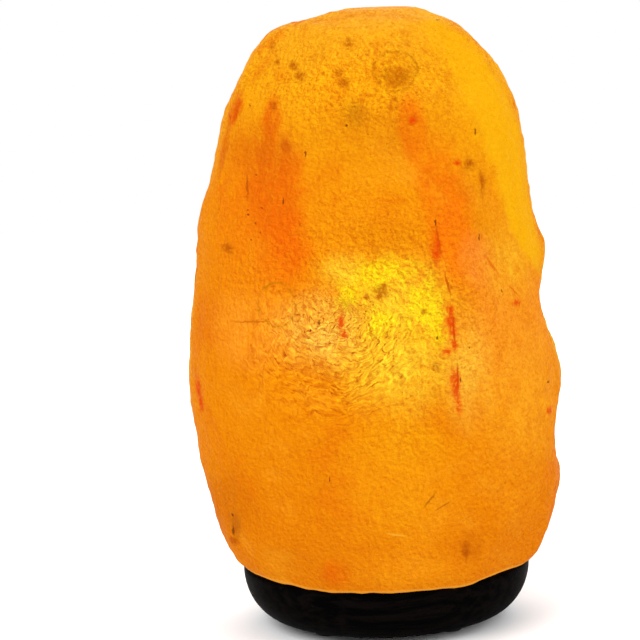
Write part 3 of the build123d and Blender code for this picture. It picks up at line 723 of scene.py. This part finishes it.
def marked(tree, at, colour):
    # strokes, rings and small marks, all but the dark ones and the strokes broken up by the ridges
    broken = ranged(tree, at["ridge"], "brokenMarks")
    for centre, reach, tilt, tint in saltMarks["strokes"]:
        inside = patch(tree, at["torn"], centre, reach, tilt, saltMarks["strokeSoft"])
        inside = times(tree, inside, at["front"])
        colour = tinted(tree, colour, inside, tint, saltFinish["amounts"]["stroke"])
    for centre, reach in saltMarks["rings"]:
        away = calc(tree, "SUBTRACT", distanceIn(tree, at["rough"], centre, reach), 1.0)
        ring = times(tree, ranged(tree, calc(tree, "ABSOLUTE", away), "ringWidth"), at["front"])
        ring = times(tree, times(tree, ring, broken), ranged(tree, at["blobs"], "ringGaps"))
        colour = saltTinted(tree, colour, ring, "crack")
    for look in saltMarks["smallMarks"]:
        inside = marksOn(tree, at[look["edge"]], saltMarks[look["list"]], look["soft"], look["grow"])
        inside = times(tree, inside, at["front"])
        if look["edge"] == "rough":
            inside = times(tree, inside, broken)
        colour = tinted(tree, colour, inside, look["tint"], look["amount"])
    return colour


def saltMaterial():
    material, tree, shader = newMaterial("litRockSalt")
    at = saltPlaces(tree)
    colour = stained(tree, at, amberColour(tree, at))
    at["golden"] = goldenFace(tree, at)
    colour = saltTinted(tree, colour, at["golden"], "golden")
    at["glow"] = bulbGlow(tree, at)
    colour = saltTinted(tree, colour, at["glow"], "hot")
    colour = saltTinted(tree, colour, hottestBlobs(tree, at), "hottest")

    at["bumpy"] = bumpiness(tree, at)
    at["ridge"], ridgeSlope = ridges(tree, at)
    lump, lumpSlope = lumps(tree, at)
    colour = shaded(tree, at, colour, ridgeSlope, lumpSlope)
    colour = creased(tree, at, colour)
    colour = saltTinted(tree, colour, rimLight(tree, at), "rim")
    colour = saltTinted(tree, colour, specks(tree, at), "speck")
    colour = marked(tree, at, colour)

    body = blendColours(tree, 1.0, colour, (saltFinish["body"],) * 3, "MULTIPLY")
    tree.links.new(body, shader.inputs["Base Color"])
    tree.links.new(colour, shader.inputs["Emission Color"])
    shader.inputs["Emission Strength"].default_value = saltFinish["shine"]
    shader.inputs["Specular IOR Level"].default_value = saltFinish["gloss"]
    tree.links.new(ranged(tree, at["ridge"], "roughness"), shader.inputs["Roughness"])
    addBump(tree, shader, calc(tree, "ADD", at["ridge"], lump), *saltFinish["bump"])
    return material


block.data.materials.append(saltMaterial())
print("salt block coloured")

woodFinish = {
    "dark": (2, 2, 2),
    "light": (10, 7, 6),
    "pores": (1, 1, 1),
    "bend": (60.0, 14.0),  # the grain wanders: size and reach in millimetres
    # turned from one board, so the grain runs along X whatever the bowl does
    # noise: size in millimetres, detail, roughness, distortion, stretch
    "grainNoise": (3.2, 4.0, 0.6, 0.3, (0.06, 1.0, 1.0)),
    "poreNoise": (0.5, 2.0, 0.5, 0.0, (0.05, 1.0, 1.0)),
    "wearNoise": (18.0, 4.0),
    "grainRange": (0.38, 0.64),
    "poreRange": (0.60, 0.70),
    "poreAmount": 0.8,
    "roughness": (0.3, 0.7, 0.42, 0.56),
    "shine": 0.004,
    "grainHeight": 0.6,
    "bump": (0.35, 0.15 * mm),  # strength and distance
}


def woodMaterial():
    material, tree, shader = newMaterial("blackStainedWood")
    place = millimetres(tree)
    bent = shifted(tree, place, *woodFinish["bend"])
    grain = noise(tree, bent, *woodFinish["grainNoise"])["Fac"]
    toned = spread(tree, grain, *woodFinish["grainRange"])
    colour = blendColours(tree, toned, paint(woodFinish["dark"]), paint(woodFinish["light"]))
    pores = noise(tree, place, *woodFinish["poreNoise"])["Fac"]
    pored = spread(tree, pores, *woodFinish["poreRange"])
    colour = tinted(tree, colour, pored, woodFinish["pores"], woodFinish["poreAmount"])
    tree.links.new(colour, shader.inputs["Base Color"])
    wear = noise(tree, place, *woodFinish["wearNoise"])["Fac"]
    tree.links.new(spread(tree, wear, *woodFinish["roughness"]), shader.inputs["Roughness"])
    shader.inputs["Specular IOR Level"].default_value = woodFinish["shine"]
    height = calc(tree, "SUBTRACT", times(tree, grain, woodFinish["grainHeight"]), pored)
    addBump(tree, shader, height, *woodFinish["bump"])
    return material


# what a finish below has unless it says otherwise; its noises are detail and roughness
usualFinish = {
    "cloudNoise": (4.0, 0.6), "tones": (0.36, 0.66), "fineNoise": (3.0, 0.6), "fineRange": (0.3, 0.7),
    "brushed": None, "specks": 0.0, "speckEdge": (0.16, 0.08), "speckGap": 1.6, "speckTint": (40, 32, 24),
    "bumpDistance": 0.05 * mm, "sockets": {},
}


def plainFinish(name, own):
    # two tones in soft clouds, roughness that varies, fine specks, and a fine bump or brushed lines
    settings = {**usualFinish, **own}
    material, tree, shader = newMaterial(name)
    place = millimetres(tree)
    clouds = noise(tree, place, settings["cloud"], *settings["cloudNoise"])["Fac"]
    toned = spread(tree, clouds, *settings["tones"])
    colour = blendColours(tree, toned, paint(settings["main"]), paint(settings["second"]))
    values = {"Vector": place, "Scale": 1 / settings["speckGap"]}
    dots = addNode(tree, "TexVoronoi", values).outputs["Distance"]
    specked = spread(tree, dots, *settings["speckEdge"])
    colour = tinted(tree, colour, specked, settings["speckTint"], settings["specks"])
    tree.links.new(colour, shader.inputs["Base Color"])
    fine = noise(tree, place, settings["fine"], *settings["fineNoise"], stretch=settings["brushed"])["Fac"]
    roughness = spread(tree, fine, *settings["fineRange"], *settings["rough"])
    tree.links.new(roughness, shader.inputs["Roughness"])
    addBump(tree, shader, fine, settings["bump"], settings["bumpDistance"])
    for socket, value in settings["sockets"].items():
        shader.inputs[socket].default_value = value
    return material


metal = {"Metallic": 1.0}
clear = {"Transmission Weight": 1.0, "IOR": 1.5}
# the pieces that stay as the CAD model has them, by finish; "cloud", "fine" and gaps in millimetres
finishes = {
    "blackRubber": {
        "on": ["rubber_feet"], "main": (24, 24, 25), "second": (36, 35, 35), "cloud": 4.0, "fine": 0.35,
        "rough": (0.72, 0.9), "bump": 0.5, "sockets": {"Specular IOR Level": 0.3},
    },
    "zincSteel": {
        "on": ["base_screws", "terminal_screws"], "main": (196, 197, 200), "second": (168, 166, 158),
        "cloud": 2.5, "fine": 0.3, "rough": (0.28, 0.46), "bump": 0.3, "specks": 0.4, "sockets": metal,
    },
    "greyNylon": {
        "on": ["screw_anchors"], "main": (178, 178, 174), "second": (164, 165, 162), "cloud": 5.0,
        "fine": 0.4, "rough": (0.5, 0.66), "bump": 0.3,
    },
    "ivoryPlastic": {
        "on": ["holder_cap", "holder_body"], "main": (208, 203, 187), "second": (202, 195, 175),
        "cloud": 14.0, "fine": 0.5, "rough": (0.22, 0.36), "bump": 0.2, "specks": 0.15,
        "speckTint": (170, 158, 130),
    },
    "springSteel": {
        "on": ["spring_clip"], "main": (172, 174, 178), "second": (158, 159, 160), "cloud": 6.0, "fine": 0.3,
        "brushed": (1.0, 1.0, 0.08), "rough": (0.24, 0.42), "bump": 0.4, "sockets": metal,
    },
    "creamCeramic": {
        "on": ["contact_carrier"], "main": (232, 227, 212), "second": (220, 212, 192), "cloud": 4.0,
        "fine": 0.6, "rough": (0.14, 0.26), "bump": 0.25, "specks": 0.6, "speckTint": (120, 100, 76),
        "sockets": {"Coat Weight": 0.5, "Coat Roughness": 0.08},
    },
    "shellBrass": {
        "on": ["screw_shell"], "main": (214, 178, 104), "second": (188, 148, 82), "cloud": 2.6, "fine": 0.3,
        "rough": (0.24, 0.44), "bump": 0.3, "specks": 0.4, "speckTint": (104, 74, 38), "sockets": metal,
    },
    "contactBrass": {
        "on": ["centre_contact", "contact_rivets", "terminal_blocks"], "main": (218, 182, 106),
        "second": (196, 156, 86), "cloud": 2.2, "fine": 0.3, "rough": (0.22, 0.4), "bump": 0.3,
        "specks": 0.4, "speckTint": (110, 80, 42), "sockets": metal,
    },
    "capBrass": {
        "on": ["bulb_cap"], "main": (206, 188, 146), "second": (182, 160, 116), "cloud": 3.2, "fine": 0.3,
        "rough": (0.22, 0.42), "bump": 0.3, "specks": 0.5, "speckTint": (112, 90, 58), "sockets": metal,
    },
    "solderedTip": {
        "on": ["tip_contact"], "main": (188, 189, 192), "second": (150, 150, 152), "cloud": 0.9, "fine": 0.25,
        "rough": (0.3, 0.55), "bump": 0.6, "specks": 0.5, "speckGap": 0.8, "sockets": metal,
    },
    "blackGlass": {
        "on": ["cap_insulator"], "main": (18, 18, 22), "second": (30, 29, 34), "cloud": 3.0, "fine": 0.5,
        "rough": (0.1, 0.2), "bump": 0.2,
    },
    "clearGlass": {
        "on": ["bulb_glass"], "main": (252, 253, 252), "second": (248, 250, 249), "cloud": 12.0, "fine": 6.0,
        "rough": (0.0, 0.03), "bump": 0.05, "sockets": clear,
    },
    "stemGlass": {
        "on": ["glass_stem"], "main": (246, 250, 248), "second": (236, 244, 240), "cloud": 3.0, "fine": 1.2,
        "rough": (0.02, 0.08), "bump": 0.2, "sockets": clear,
    },
    "nickelWire": {
        "on": ["lead_wires", "support_wire"], "main": (170, 168, 162), "second": (136, 132, 124),
        "cloud": 1.4, "fine": 0.2, "rough": (0.3, 0.5), "bump": 0.3, "sockets": metal,
    },
    "hotTungsten": {
        "on": ["filament"], "main": (120, 112, 104), "second": (96, 88, 80), "cloud": 0.6, "fine": 0.15,
        "rough": (0.4, 0.6), "bump": 0.3,
        "sockets": {"Metallic": 1.0, "Emission Color": (1.0, 0.56, 0.18, 1.0), "Emission Strength": 6.0},
    },
}


def finishNode(name, material):
    nodes[name].data.materials.clear()
    nodes[name].data.materials.append(material)


finishNode("wooden_base", woodMaterial())
for name, settings in finishes.items():
    material = plainFinish(name, settings)
    for node in settings["on"]:
        finishNode(node, material)
print("other pieces finished")

floorSettings = {"reach": 3.0, "colour": (0.93, 0.93, 0.93), "roughness": 0.9, "shine": 0.0}
bpy.ops.object.select_all(action="DESELECT")
bpy.ops.mesh.primitive_plane_add(size=floorSettings["reach"], location=(0, 0, 0))
floor = bpy.context.object
floor.name = "floor"
floorPaint, _, floorShader = newMaterial("paleFloor")
floorShader.inputs["Base Color"].default_value = (*floorSettings["colour"], 1.0)
floorShader.inputs["Roughness"].default_value = floorSettings["roughness"]
floorShader.inputs["Specular IOR Level"].default_value = floorSettings["shine"]
floor.data.materials.append(floorPaint)

lightSettings = {
    "world": (1.0, 1.0, 1.0),
    "worldStrength": 1.0,
    "aim": (0, 0, 0.12),
    # name, place and size in metres, power in watts
    "areas": [
        ("keyLight", (-0.9, -1.2, 1.3), 1.2, 22.0),
        ("fillLight", (1.1, -0.8, 0.9), 1.2, 10.0),
        ("backLight", (0.3, 1.2, 1.2), 1.2, 12.0),
    ],
}
world = bpy.data.worlds.new("studio")
world.use_nodes = True
background = world.node_tree.nodes["Background"]
background.inputs["Color"].default_value = (*lightSettings["world"], 1.0)
background.inputs["Strength"].default_value = lightSettings["worldStrength"]
bpy.context.scene.world = world
for name, spot, size, power in lightSettings["areas"]:
    light = bpy.data.lights.new(name, "AREA")
    light.size = size
    light.energy = power
    stand = bpy.data.objects.new(name, light)
    stand.location = spot
    stand.rotation_mode = "QUATERNION"
    stand.rotation_quaternion = (Vector(lightSettings["aim"]) - Vector(spot)).to_track_quat("-Z", "Y")
    bpy.context.scene.collection.objects.link(stand)
bpy.context.scene.view_settings.view_transform = "Standard"

cameraSettings = {
    "place": (0.0, -1185.2 * mm, 312.7 * mm),
    "aim": (-24.9 * mm, 0.0, 132.7 * mm),
    "roll": -2.25,  # degrees
    "lens": 155.6,  # this and the sensor in millimetres
    "sensor": 36.0,
}
camera = bpy.data.objects.new("camera", bpy.data.cameras.new("camera"))
camera.data.lens = cameraSettings["lens"]
camera.data.sensor_width = cameraSettings["sensor"]
camera.location = cameraSettings["place"]
gaze = Vector(cameraSettings["aim"]) - Vector(cameraSettings["place"])
rolled = Quaternion((0, 0, 1), math.radians(cameraSettings["roll"]))
camera.rotation_mode = "QUATERNION"
camera.rotation_quaternion = gaze.to_track_quat("-Z", "Y") @ rolled
bpy.context.scene.collection.objects.link(camera)
bpy.context.scene.camera = camera
print("stage, lights and camera set")
